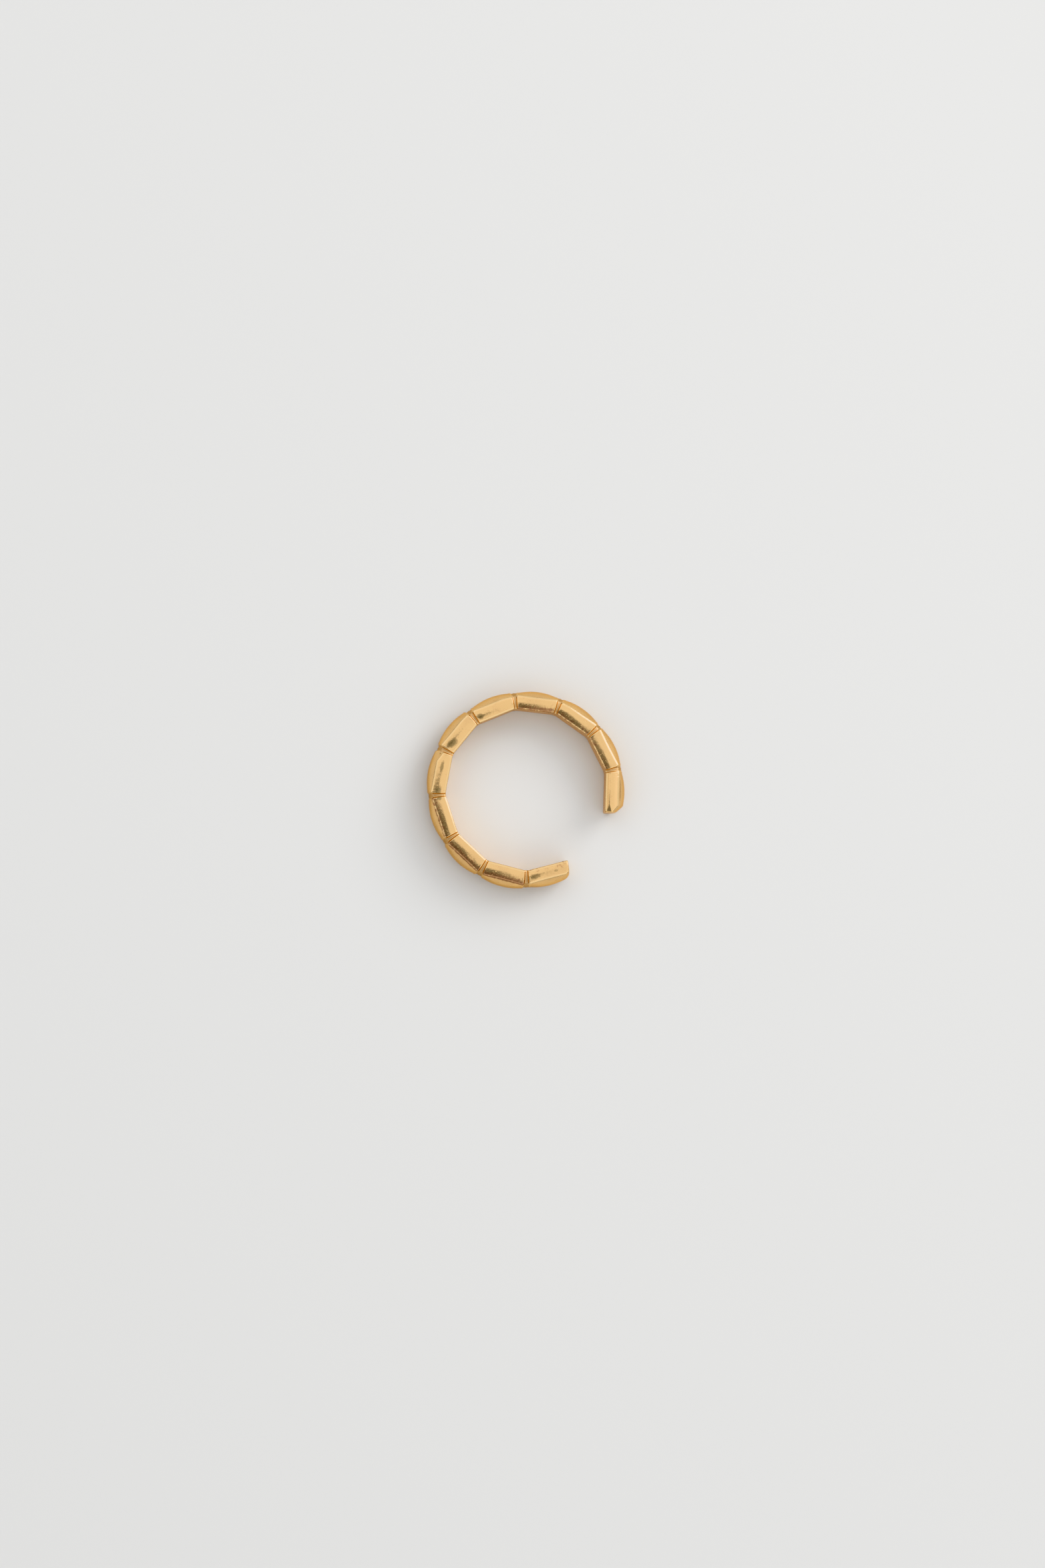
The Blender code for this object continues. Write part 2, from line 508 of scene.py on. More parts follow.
# %% Which row, which column, which tile
GROOVE_ROWS = 15
BODY_ROWS = 34
TILE_ROWS = GROOVE_ROWS * 2 + BODY_ROWS
ROWS = TILE_ROWS * len(TILES) + 1

flat_grid = shaping.node(
    "GeometryNodeMeshGrid",
    values={"Size X": 1.0, "Size Y": 1.0, "Vertices X": ROWS, "Vertices Y": COLUMNS},
)
position = shaping.node("GeometryNodeInputPosition")
grid_x, grid_y, _ = parted(position)
row = calculate("ROUND", (grid_x + 0.5) * (ROWS - 1))
column = calculate("ROUND", (0.5 - grid_y) * (COLUMNS - 1))
tile_number = least(calculate("FLOOR", row / TILE_ROWS), len(TILES) - 1)
step = row - tile_number * TILE_ROWS
climb = least(step / GROOVE_ROWS, 1.0)
descent = least((TILE_ROWS - step) / GROOVE_ROWS, 1.0)
body = clamped((step - GROOVE_ROWS) / BODY_ROWS)
print("grid:", ROWS, "rows of", COLUMNS)


# %% Read the path and the outline
def sampled(shape, value, index, kind="FLOAT"):
    """Return a value of one point of another shape."""
    return shaping.node(
        "GeometryNodeSampleIndex",
        {"data_type": kind, "domain": "POINT"},
        {"Geometry": shape, "Value": value, "Index": index},
    )


def attribute(word):
    """Return what is stored on a mesh under a name."""
    settings = {"data_type": "FLOAT"}
    return shaping.node("GeometryNodeInputNamedAttribute", settings, {"Name": word}, "Attribute")


path = size("Path")
outline = shaping.node("GeometryNodeObjectInfo", (), {"Object": size("Outline")}, "Geometry")
of_tile = {word: sampled(path, attribute(word), tile_number) for word in TILE_WORDS[1:]}
of_point = {
    word: sampled(outline, attribute(word), column)
    for word in ("middle_reach", "middle_height", "length", *MARK_WORDS)
}
first_corner = sampled(path, position, tile_number, "FLOAT_VECTOR")
last_corner = sampled(path, position, tile_number + 1, "FLOAT_VECTOR")
end_reach, _, end_height = parted(sampled(outline, position, column, "FLOAT_VECTOR"))
print("attributes read:", len(of_tile) + len(of_point))

# %% [markdown]
# ### A tile's own directions
#
# Two rays run from the finger's axis through the two grooves beside a tile. The tile faces
# the direction half-way between them, and runs square to that. Where the two rays meet the
# tile's line at some reach, its mitres cut it off, so half its length at a reach is the reach
# times the tangent of half the angle between the rays.

# %% Directions and lengths
first_ray = vectors("NORMALIZE", first_corner)
last_ray = vectors("NORMALIZE", last_corner)
facing = vectors("NORMALIZE", vectors("ADD", first_ray, last_ray))
forward = vectors("CROSS_PRODUCT", (0.0, 0.0, 1.0), facing)
half_cos = vectors("DOT_PRODUCT", facing, last_ray, output="Value")
half_sin = vectors("DOT_PRODUCT", forward, last_ray, output="Value")
inner_reach = size("Finger across") / 2


def half_length(reach):
    """Return half a tile's length at a reach, up to its mitres."""
    return reach / MEAN_HALF_COS * half_sin


def in_wall(reach):
    """Return where a reach lies in the wall: 0 at the inner face, 1 at the outer border."""
    return (reach - inner_reach) / size("Wall")


inner_half = half_length(inner_reach)
tile_length = inner_half * 2
print("tree has", len(shaping.tree.nodes), "nodes")

# %% [markdown]
# ### Grooves
#
# A groove was sawn and filed: its floor is nearly flat, its walls are steep, and its two
# lips are soft. A soft step gives all three. It takes the distance from the middle of the
# groove, counted in halves of the groove's width, and returns how deep the cut is there.
#
# The gold is painted lighter on the walls, as painted light, and on the lips, as a painted
# highlight, so two more steps, back to back, mark the places that lie on each.

# %% How deep the groove is at a row
GROOVE_REACH = 1.8
FLOOR_SHARE = 0.50
LIP_SHARE = 1.16
DOME_LIP_SHARE = 1.60
WALL_SPAN = (FLOOR_SHARE - 0.04, LIP_SHARE - 0.06)
LIP_SPAN = (LIP_SHARE - 0.20, LIP_SHARE + 0.25)
FLOOR_ROUND = 0.10
ROW_CROWDING = 0.12


def is_tile(number):
    """Return 1 on the tile with a number and 0 on the others."""
    return calculate("COMPARE", tile_number, float(number), 0.5)


def from_groove(share):
    """Return how far a row lies from the groove's middle. Rows crowd together at the wall."""
    return (share + calculate("SINE", share * (math.pi * 2)) * ROW_CROWDING) * GROOVE_REACH


def groove_depth(place, lip_share=LIP_SHARE):
    """Return the depth, from 0 on the tile to 1 in the middle of the floor."""
    return (1 - smoothed(place, FLOOR_SHARE, lip_share)) * (1 - squared(place) * FLOOR_ROUND)


def bell(place, low, high):
    """Return 1 half-way between two places, and 0 at them and beyond."""
    middle = (low + high) / 2
    return smoothed(place, low, middle) * (1 - smoothed(place, middle, high))


is_first_end, is_last_end = is_tile(0), is_tile(len(TILES) - 1)
first_place, last_place = from_groove(climb), from_groove(descent)


def of_both(shape, *shares):
    """Return a shape of the groove before the tile plus that of the groove after it."""
    first = shape(first_place, *shares) * (1 - is_first_end)
    return clamped(first + shape(last_place, *shares) * (1 - is_last_end))


depth = of_both(groove_depth)
dome_depth = of_both(groove_depth, DOME_LIP_SHARE)
# Later the walls get painted light in the gold's colour, and the lips a painted highlight.
walls = of_both(bell, *WALL_SPAN)
lips = of_both(bell, *LIP_SPAN)
print("tree has", len(shaping.tree.nodes), "nodes")

# %% [markdown]
# ### Free ends
#
# The two free ends have no groove, so their rows are used in another way. The first few
# shrink to one point and become the end face. The rest round its border over, and take off
# the outer corner: on the first end as a long slant, on the last one as a short one.

# %% The free ends
# The slants' lengths and depths, and all other shares here, are shares of the wall, but for
# the share of an end's rows that its end face takes.
CAP_SHARE = 0.4
END_REACH = 0.5
FIRST_SLANT = (0.48, 0.40)
LAST_SLANT = (0.24, 0.12)
LAST_END_LEAN = 0.12

outer = of_point["outer"]


def from_end(share):
    """Return how far a row lies behind the end face."""
    past_cap = clamped((share - CAP_SHARE) / (1 - CAP_SHARE))
    return squared(past_cap) * size("Wall") * END_REACH


def rounding(distance):
    """Return how far the border is drawn back at a distance behind the end face."""
    left = 1 - least(distance / size("End rounding"), 1.0)
    return size("End rounding") * (1 - calculate("SQRT", 1 - squared(left)))


def slant(distance, shares):
    """Return how far the outer side is drawn back, for a slant of a length and a depth."""
    length, drawn_back = (size("Wall") * share for share in shares)
    return most(1 - distance / length, 0.0) * drawn_back


def at_ends(first, last):
    """Return one value on the first tile, another on the last one, and 0 between."""
    return is_first_end * first + is_last_end * last


first_distance, last_distance = from_end(climb), from_end(descent)
end_round = at_ends(rounding(first_distance), rounding(last_distance))
end_slant = at_ends(slant(first_distance, FIRST_SLANT), slant(last_distance, LAST_SLANT))
first_cap = least(climb / CAP_SHARE, 1.0)
last_cap = least(descent / CAP_SHARE, 1.0)
shrink = mixed(1.0, first_cap, is_first_end) * mixed(1.0, last_cap, is_last_end)
print("free ends take", GROOVE_ROWS, "rows each")

# %% Where a point lies along its tile and in the wall
FACE_LOW, FACE_HIGH = 0.135, 0.894      # the edge face's own two borders, in the wall

wall_lengths = tile_length / size("Wall")
first_run = first_distance / size("Wall") + body * (wall_lengths - END_REACH)
last_run = last_distance / size("Wall") + (1 - body) * (wall_lengths - END_REACH)
tile_share = mixed(body, first_run / wall_lengths, is_first_end)
tile_share = mixed(tile_share, 1 - last_run / wall_lengths, is_last_end)
arch = 1 - squared(tile_share * 2 - 1)
plain_reach = mixed(end_reach, of_point["middle_reach"], arch)
plain_height = mixed(end_height, of_point["middle_height"], arch)
wall_share = in_wall(plain_reach - outer * end_slant)
face_share = clamped((wall_share - FACE_LOW) / (FACE_HIGH - FACE_LOW))
print("tree has", len(shaping.tree.nodes), "nodes")

# %% [markdown]
# ### The worn first end
#
# The first tile is worn along its inner side. A long bevel runs there from the groove to the
# opening, and at the very tip a small triangular facet falls away from it. Both belong to the
# upper edge face alone, and where they meet the deeper one wins, which leaves a crisp line
# between them. All their numbers are counted in walls.

# %% The bevel and the facet
BEVEL_SHARE, BEVEL_FOOT = 0.29, 0.103
TIP_REACH, TIP_SLOPE, TIP_SIDE_SLOPE = 0.52, 0.085, 0.14

side_bevel = most(BEVEL_SHARE - most(wall_share, BEVEL_FOOT), 0.0) * of_tile["bevel"]
tip_facet = (TIP_REACH - first_run) * TIP_SLOPE - (wall_share - BEVEL_SHARE) * TIP_SIDE_SLOPE
bevel_drop = most(side_bevel, is_first_end * most(tip_facet, 0.0)) * size("Wall")
print("facet reaches, mm:", round(TIP_REACH * WALL * MILLIMETRES, 2))

# %% [markdown]
# ### Marks of the hand
#
# Nothing on the ring is quite straight. A slow noise, read from a place on the path, draws
# the outer and inner borders back by a few hundredths of a millimetre. The upper edge face
# is a little crowned, and each one leans its own way, which is why each tile in a row throws
# back another part of the room.

# %% Wandering borders and clipped corners
WANDER_SCALE = 400.0
WANDER_DETAIL = 3.0
OUTER_OFFSET, INNER_OFFSET = 3.0, 8.0
CLIP_REACH = 0.20

path_place = vectors("ADD", stretched(first_corner, 1 - body), stretched(last_corner, body))


def wander(offset):
    """Return a slow noise from 0 to 1 along the band."""
    place = vectors("ADD", path_place, (offset, offset, offset))
    values = {"Vector": place, "Scale": WANDER_SCALE, "Detail": WANDER_DETAIL}
    return shaping.node("ShaderNodeTexNoise", (), values)


outer_wander = size("Hand wander") * wander(OUTER_OFFSET)
inner_wander = size("Hand wander") * wander(INNER_OFFSET)
first_left = most(1 - body / CLIP_REACH, 0.0)
last_left = most(1 - (1 - body) / CLIP_REACH, 0.0)
clip = of_tile["first_clip"] * first_left + of_tile["last_clip"] * last_left
clip = clip * (1 - depth) * size("Wall")
print("tree has", len(shaping.tree.nodes), "nodes")

# %% Crown, lean and dip of the edge faces
# A skin is 1 on an edge face and fades out down the pillow and the inner face.
SKIN_GAIN, SKIN_POWER = 1.11, 6.0
DEGREE = math.radians(1.0)


def tipped(degrees, run, share):
    """Return how far a tipped face lies below its higher side."""
    fall = degrees * DEGREE * run
    return fall * (share - 0.5) + calculate("ABSOLUTE", fall) * 0.5


level = plain_height / size("Band width") * 2 - 1
upper_skin = calculate("POWER", least(most(level, 0.0) * SKIN_GAIN, 1.0), SKIN_POWER)
lower_skin = calculate("POWER", most(-level, 0.0), SKIN_POWER)
crown = size("Edge crown") * squared(face_share * 2 - 1)
length_crown = size("Length crown") * (1 - arch)
lean_drop = tipped(of_tile["lean"], size("Wall"), face_share)
dip_drop = tipped(of_tile["dip"], tile_length, body)
tile_drop = (lean_drop + dip_drop + bevel_drop) * (1 - depth)
upper_drop = upper_skin * (crown + length_crown + tile_drop)
lower_rise = lower_skin * crown
print("tree has", len(shaping.tree.nodes), "nodes")

# %% [markdown]
# ### Draw the cross-section in
#
# Grooves, free ends and wandering borders all draw some side of the outline back. The outer
# side moves by how far out a point lies, the two edges by how high or low it lies, and the
# inner face keeps still but for a small fillet in the corner between two tiles.

# %% Where a point lies in its cross-section
def corner_share(place):
    """Return how much a point belongs to the corner between two tiles."""
    return squared(1 - place / GROOVE_REACH)


stands_out = of_tile["outward"] * size("Wall") * (1 - dome_depth)
outer_back = dome_depth * size("Groove dome depth") + end_round + end_slant
outer_back = outer_back + outer_wander - stands_out
inner_back = end_round + inner_wander * (1 - depth)
edge_back = depth * size("Groove edge depth") + end_round
inner_half_width = size("Groove inner width") / 2 * GROOVE_REACH
fillet = of_both(corner_share) * squared(inner_half_width) / (size("Inner fillet") * 2)

reach = plain_reach - outer * outer_back + (1 - outer) * (inner_back - fillet)
reach = reach - clip * of_point["clip"]
height = plain_height - level * edge_back - upper_drop + lower_rise
reach = mixed(inner_reach + size("Wall") / 2, reach, shrink)
height = mixed(size("Band width") / 2, height, shrink)
print("tree has", len(shaping.tree.nodes), "nodes")

# %% Where it lies along its tile
mitre = half_length(reach)
groove_half = mixed(size("Groove inner width"), size("Groove outer width"), in_wall(reach)) / 2
groove_half = groove_half / half_cos
end_half = inner_half + size("End overhang")
last_lean = size("Wall") * LAST_END_LEAN * in_wall(reach)
first_edge = mitre - first_place * groove_half
last_edge = mitre - last_place * groove_half
first_side = mixed(first_edge, end_half - first_distance, is_first_end)
last_side = mixed(last_edge, end_half - last_distance - last_lean, is_last_end)
along = mixed(-first_side, last_side, body)
print("tree has", len(shaping.tree.nodes), "nodes")

# %% [markdown]
# ### From sums to a mesh
#
# The gold must know later where it lies: in a groove, on its wall, on a rim, on the inside or
# on a brown border, which is partly tarnish and partly painted dark reflection. The rim, groove
# and wall numbers carry a painted highlight, painted shade and painted light into the colour.
# Those five numbers are stored on the grid before it is bent, together with a map that counts
# millimetres along the band and round its outline. Then one node moves every point, the grid's
# long edges are joined, and a last fine noise leaves the ripple of hand polishing.

# %% Numbers and a map for the gold
END_FACE_START = 0.84
OUTER_TARNISH_AND_REFLECTION_START = 0.55
INNER_TARNISH_AND_REFLECTION_END = 0.45
FACE_POWER = 12.0


def stored(shape, name, value, kind="FLOAT", domain="POINT"):
    """Return the shape with a value stored on it under a name."""
    return shaping.node(
        "GeometryNodeStoreNamedAttribute",
        {"data_type": kind, "domain": domain},
        {"Geometry": shape, "Name": name, "Value": value},
    )


outside = 1 - of_point["inside"]
off_end_face = smoothed(shrink, END_FACE_START, 1.0)
# The brown borders of some tiles are partly tarnish and partly a painted dark reflection.
outer_tarnish_and_reflection = smoothed(outer, OUTER_TARNISH_AND_REFLECTION_START, 1.0) * most(of_tile["tarnish"], 0.0)
inner_tarnish_and_reflection = (1 - smoothed(outer, 0.0, INNER_TARNISH_AND_REFLECTION_END)) * most(-of_tile["tarnish"], 0.0)
on_face = calculate("POWER", upper_skin, FACE_POWER) * (1 - depth)
# The rim mark carries a painted highlight, the groove mark painted shade and the wall mark painted
# light into the gold's colour.
kept = {
    "groove": depth * outside,
    "rim": most(of_point["rim"] * off_end_face, lips * outside),
    "wall": walls * outside * clamped(upper_skin + lower_skin),
    "inside": of_point["inside"] * off_end_face,
    "tarnish": (outer_tarnish_and_reflection + inner_tarnish_and_reflection) * on_face,
}
marked = flat_grid
for word, value in kept.items():
    marked = stored(marked, word, value)

along_share = along / mitre / 2 + 0.5
map_x = (tile_number + along_share) * tile_length * MILLIMETRES
map_y = of_point["length"] * MILLIMETRES
band_map = shaping.node("ShaderNodeCombineXYZ", (), {"X": map_x, "Y": map_y})
marked = stored(marked, "band_map", band_map, "FLOAT2", "CORNER")
print("numbers kept for the gold:", len(kept))

# %% Bend the grid into the ring
RIPPLE_SCALE = 1400.0
RIPPLE_DETAIL = 1.0
JOIN_DISTANCE = 0.0000005

outwards = stretched(facing, reach / MEAN_HALF_COS * half_cos)
upwards = shaping.node("ShaderNodeCombineXYZ", (), {"Z": height})
bent_place = vectors("ADD", vectors("ADD", outwards, stretched(forward, along)), upwards)
bent = shaping.node("GeometryNodeSetPosition", (), {"Geometry": marked, "Position": bent_place})
joining = {"Geometry": bent, "Distance": JOIN_DISTANCE}
joined = shaping.node("GeometryNodeMergeByDistance", (), joining)
rippling = {"Vector": position, "Scale": RIPPLE_SCALE, "Detail": RIPPLE_DETAIL}
ripple = shaping.node("ShaderNodeTexNoise", (), rippling)
normal = shaping.node("GeometryNodeInputNormal")
inwards = stretched(normal, ripple * size("Polish ripple") * -1.0)
polished = shaping.node("GeometryNodeSetPosition", (), {"Geometry": joined, "Offset": inwards})
smooth = shaping.node("GeometryNodeSetShadeSmooth", (), {"Geometry": polished})
real = shaping.node("GeometryNodeRealizeInstances", (), {"Geometry": smooth})
gilt = {"Geometry": real, "Material": size("Material")}
shaping.node("NodeGroupOutput", (), {0: shaping.node("GeometryNodeSetMaterial", (), gilt)})
print("tree has", len(shaping.tree.nodes), "nodes and", len(shaping.tree.links), "links")

# %% [markdown]
# ## Gold
#
# Polished gold has no colour of its own but the colour it gives to what it mirrors, so the
# base colour is deep, and most of the rest is done by how rough and how even the surface is.
# Some light and shade is also painted into the colour: highlights on the rims, shade in the
# grooves and dark reflections on some tiles. All marks are counted in millimetres: those that
# follow the band read its map, and those that don't care about direction read the object's own
# coordinates.

# %% The gold's tree and its coordinates
polished_gold = bpy.data.materials.new("polished_gold")
polished_gold.use_nodes = True
gilding = Tree(polished_gold.node_tree)


def gold_attribute(name):
    return gilding.node("ShaderNodeAttribute", {"attribute_name": name}, (), "Fac")


marks = {word: gold_attribute(word) for word in kept}
map_along, map_round, _ = parted(gilding.node("ShaderNodeUVMap", {"uv_map": "band_map"}))
scaling = {
    "Vector": gilding.node("ShaderNodeTexCoord", output="Object"),
    "Scale": (MILLIMETRES, MILLIMETRES, MILLIMETRES),
}
object_place = gilding.node("ShaderNodeMapping", (), scaling)
print("marks so far:", list(marks))

# %% [markdown]
# ### Marks that lie everywhere
#
# Up close a polished ring is never clean. It has fine scratches, file marks in the grooves,
# streaks round the inside from the rod it was shaped on, a thin film from handling, and small
# pits from the casting. A picture could be laid on the ring for this, but a noise is sharp at
# any size and needs no picture.
#
# Each mark is a number from 0 to 1. All are collected under their names, so that the colour,
# the roughness and the relief can each take what they need.

# %% Noises, streaks and scratches
# Each noise: blots in a millimetre, and detail. Each patch also has the two levels of its
# noise between which it fades in. Streaks: blots in a millimetre along the band and round it.
# Scratches: their turn in radians, and their length and width in millimetres. The last number
# of both is an offset, so that no two noises are alike.
HANDLING = (1.6, 4.0)
MOTTLE = (4.2, 3.0)
GRAIN = (11.0, 2.0)
PATCHES = {
    "scratched": (0.5, 1.0, 0.50, 0.66),
    "film": (0.45, 3.0, 0.42, 0.66),
    "specks": (6.0, 3.0, 0.54, 0.68),
}
FILE_STREAKS = (14.0, 0.35, 20.0)
ROD_STREAKS = (0.35, 9.0, 40.0)
STREAK_DETAIL = 2.0
ROUND_SCRATCHES = (0.25, 9.0, 0.22, 0.0)
ALONG_SCRATCHES = (1.25, 11.0, 0.26, 60.0)
SCRATCH_LEVEL = 0.955


def noise(vector, scale, detail):
    """Return a soft noise around 0.5."""
    values = {"Vector": vector, "Scale": scale, "Detail": detail}
    return gilding.node("ShaderNodeTexNoise", (), values)


def patch(word):
    """Return a noise that is 0 in most places and 1 in some."""
    scale, detail, low, high = PATCHES[word]
    return smoothed(noise(object_place, scale, detail), low, high)


def streaks(along_scale, round_scale, offset):
    """Return a noise that is drawn out along the band or round its outline."""
    values = {"X": map_along * along_scale, "Y": map_round * round_scale, "Z": offset}
    return noise(gilding.node("ShaderNodeCombineXYZ", (), values), 1.0, STREAK_DETAIL)


def scratches(turn, length, width, offset):
    """Return thin lines in one direction, with 1 in the middle of a line and 0 beside it."""
    across = map_along * math.cos(turn) + map_round * math.sin(turn)
    lengthwise = map_round * math.cos(turn) - map_along * math.sin(turn)
    values = {"X": across / width, "Y": lengthwise / length, "Z": offset}
    place = gilding.node("ShaderNodeCombineXYZ", (), values)
    ridge = 1 - calculate("ABSOLUTE", noise(place, 1.0, 0.0) * 2 - 1)
    return smoothed(ridge, SCRATCH_LEVEL, 1.0)


mottle = noise(object_place, *MOTTLE)
marks["mottle"] = mottle
marks["handling"] = noise(object_place, *HANDLING)
marks["grain"] = noise(object_place, *GRAIN)
marks["film"] = patch("film")
marks["specks"] = patch("specks")
marks["file marks"] = streaks(*FILE_STREAKS) * marks["groove"]
marks["rod marks"] = streaks(*ROD_STREAKS) * marks["inside"]
two_ways = scratches(*ROUND_SCRATCHES) + scratches(*ALONG_SCRATCHES)
marks["scratches"] = two_ways * patch("scratched")
print("marks so far:", list(marks))

# %% Pits left by the casting, and brown: tarnish and painted dark reflection
PIT_SCALE = 1.7
PIT_SIZES = (0.02, 0.09)
PIT_CHANCES = (0.82, 0.86)
PITS_KEPT_INSIDE = 0.5
BROWN_NOISE = (3.4, 4.0)
BROWN_LEVELS = (0.60, 0.98)
BROWN_FROM_TARNISH_AND_REFLECTION = 0.50

pit_values = {"Vector": object_place, "Scale": PIT_SCALE}
pit_distance = gilding.node("ShaderNodeTexVoronoi", (), pit_values)
pit_chance, _, _ = parted(beside(pit_distance, "Color"))
pits = (1 - smoothed(pit_distance, *PIT_SIZES)) * smoothed(pit_chance, *PIT_CHANCES)
marks["pits"] = pits * (1 - marks["inside"] * (1 - PITS_KEPT_INSIDE))
# The brown is random tarnish from the noise, plus the tiles' brown borders, which are partly painted
# dark reflection.
browning = noise(object_place, *BROWN_NOISE) + marks["tarnish"] * BROWN_FROM_TARNISH_AND_REFLECTION
marks["brown"] = smoothed(browning, *BROWN_LEVELS)
print("gold has", len(gilding.tree.nodes), "nodes")

# %% [markdown]
# ### Dents, duller spots and painted dark reflections
#
# Some marks belong to one place on one tile: two small dents on the first tile, and, on the
# tiles at the left and at the bottom, duller spots and dark spots that are painted reflections.
# A table gives each one's place as shares of its tile, so it stays right if the sizes change, and
# the band's map turns the shares into millimetres. The mottle makes the borders of the spots uneven.

# %% The table of the spots
# along and across: shares of the tile's length and of the wall. long and wide: the spot's
# reach in millimetres. depth: in micrometres. satin: how much rougher the gold is there.
# The last column: how dark a painted reflection makes the spot.
SPOT_WORDS = ("tile", "along", "across", "long", "wide", "depth", "satin", "cloud")
SPOTS = [
    (1, 0.90, 0.80, 0.06, 0.22, 5.0, 0.10, 0.0),
    (1, 0.84, 0.88, 0.05, 0.16, 4.0, 0.10, 0.0),
    (5, 0.86, 0.40, 0.34, 0.30, 0.0, 0.05, 0.85),
    (6, 0.76, 0.48, 0.52, 0.36, 0.0, 0.05, 0.95),
    (7, 0.38, 0.55, 0.62, 0.18, 0.0, 0.05, 0.80),
    (7, 0.88, 0.48, 0.40, 0.28, 0.0, 0.05, 0.90),
    (9, 0.64, 0.62, 0.50, 0.12, 0.0, 0.24, 0.0),
    (10, 0.30, 0.55, 0.10, 0.08, 0.0, 0.20, 0.0),
    (11, 0.20, 0.55, 0.46, 0.30, 0.0, 0.05, 0.70),
    (11, 0.67, 0.52, 0.20, 0.13, 3.0, 0.05, 0.42),
]
print("spots:", len(SPOTS))

# %% Put the spots on the gold
SPOT_FULL, SPOT_GONE = 0.1, 1.7
SPOT_UNEVENNESS = 2.6


def map_place(number, along_there, across_there):
    """Return where a place of a tile's upper edge face lies on the band's map."""
    half_angle = BAND_ANGLE * TILES[number - 1][0] / TURN_SUM / 2
    length_there = INNER_REACH / MEAN_HALF_COS * math.sin(half_angle) * 2
    reach_there = INNER_REACH + WALL * across_there
    round_there = 0.0
    outline_points = upper_half(DOME_RISE)
    for one, other in zip(outline_points, outline_points[1:]):
        if other[0] > reach_there:
            break
        round_there += math.dist(one[:2], other[:2])
    round_there += reach_there - one[0]
    return (number - 1 + along_there) * length_there * MILLIMETRES, round_there * MILLIMETRES


def spot_shape(spot):
    """Return 1 in the middle of a spot and 0 beside it. Its border is made uneven."""
    middle_along, middle_round = map_place(spot["tile"], spot["along"], spot["across"])
    aside = (map_along - middle_along) / spot["long"]
    up = (map_round - middle_round) / spot["wide"]
    uneven = (mottle - 0.5) * SPOT_UNEVENNESS
    return 1 - smoothed(squared(aside) + squared(up) + uneven, SPOT_FULL, SPOT_GONE)


spotted = {"depth": 0.0, "satin": 0.0, "cloud": 0.0}
for numbers in SPOTS:
    spot = dict(zip(SPOT_WORDS, numbers))
    shape = spot_shape(spot)
    for word in spotted:
        if spot[word]:
            spotted[word] = spotted[word] + shape * spot[word]
print("gold has", len(gilding.tree.nodes), "nodes")

# %% [markdown]
# ### Colour, roughness and relief
#
# The marks meet in the shader. Colours are laid over each other like glazes, from the clean
# face to the dark spots, each as strong as its mark. Several are painted light: a highlight on
# the rims and lips, shade in the grooves, a lighter tone on the groove walls, and dark
# reflections on the brown borders and the dark spots. Roughness and relief are plain sums, and
# a table says how much each mark adds to them. The relief is counted in micrometres and only
# bends the light: every form that shows in the ring's outline is in the mesh itself.

# %% Colour
FACE_GOLD = (0.86, 0.55, 0.25)
FILM_GOLD = (0.74, 0.47, 0.22)
# Painted highlight: the rims and the lips of the grooves get a lighter gold, for thin bright lines.
RIM_HIGHLIGHT_GOLD = (0.95, 0.68, 0.35)
# Painted shade: the grooves get a darker, deeper gold, as light bounced inside them would give.
GROOVE_SHADE_GOLD = (0.60, 0.37, 0.17)
# Painted light: the groove walls get a lighter gold, so that their own shade shows less.
GROOVE_WALL_LIGHT = (0.82, 0.58, 0.33)
# Partly tarnish and pits, and partly painted dark reflection along some tiles' borders.
TARNISH_AND_REFLECTION = (0.38, 0.185, 0.10)
# Painted dark reflection, laid on the spots of the table.
REFLECTION_SPOT_GOLD = (0.22, 0.165, 0.08)
GLAZES = [
    (FILM_GOLD, "film", 0.55),
    (RIM_HIGHLIGHT_GOLD, "rim", 0.80),
    (GROOVE_SHADE_GOLD, "groove", 0.95),
    (GROOVE_WALL_LIGHT, "wall", 0.90),
]
STAIN_FROM_PITS, STAIN_AND_REFLECTION_FROM_BROWN = 0.60, 0.85
REFLECTION_SPOT_LOW, REFLECTION_SPOT_FROM_MOTTLE = 0.55, 0.60

color = opaque(FACE_GOLD)
for glaze, word, share in GLAZES:
    color = tinted(color, opaque(glaze), marks[word] * share)
# Pits and tarnish, together with the painted dark reflection of the brown borders.
stain_and_reflection = clamped(marks["pits"] * STAIN_FROM_PITS + marks["brown"] * STAIN_AND_REFLECTION_FROM_BROWN)
color = tinted(color, opaque(TARNISH_AND_REFLECTION), stain_and_reflection)
# The dark spots are painted reflections, kept out of the grooves.
cloud = spotted["cloud"] * (REFLECTION_SPOT_LOW + mottle * REFLECTION_SPOT_FROM_MOTTLE)
color = tinted(color, opaque(REFLECTION_SPOT_GOLD), clamped(cloud * (1 - marks["groove"])))
print("layers of colour:", len(GLAZES) + 3)

# %% Roughness, relief and the shader
POLISH = 0.13
ROUGHNESS = {
    "groove": 0.24,
    "inside": 0.07,
    "film": 0.03,
    "specks": 0.14,
    "pits": 0.30,
    "brown": 0.10,
    "rim": -0.03,
    "scratches": 0.05,
}
RELIEF = {
    "rod marks": 1.2,
    "file marks": 2.0,
    "handling": 7.0,
    "mottle": 1.2,
    "grain": 0.2,
    "scratches": -0.25,
    "pits": -12.0,
}
MICROMETRE = 0.000001
EDGE_TINT = (0.96, 0.76, 0.50)

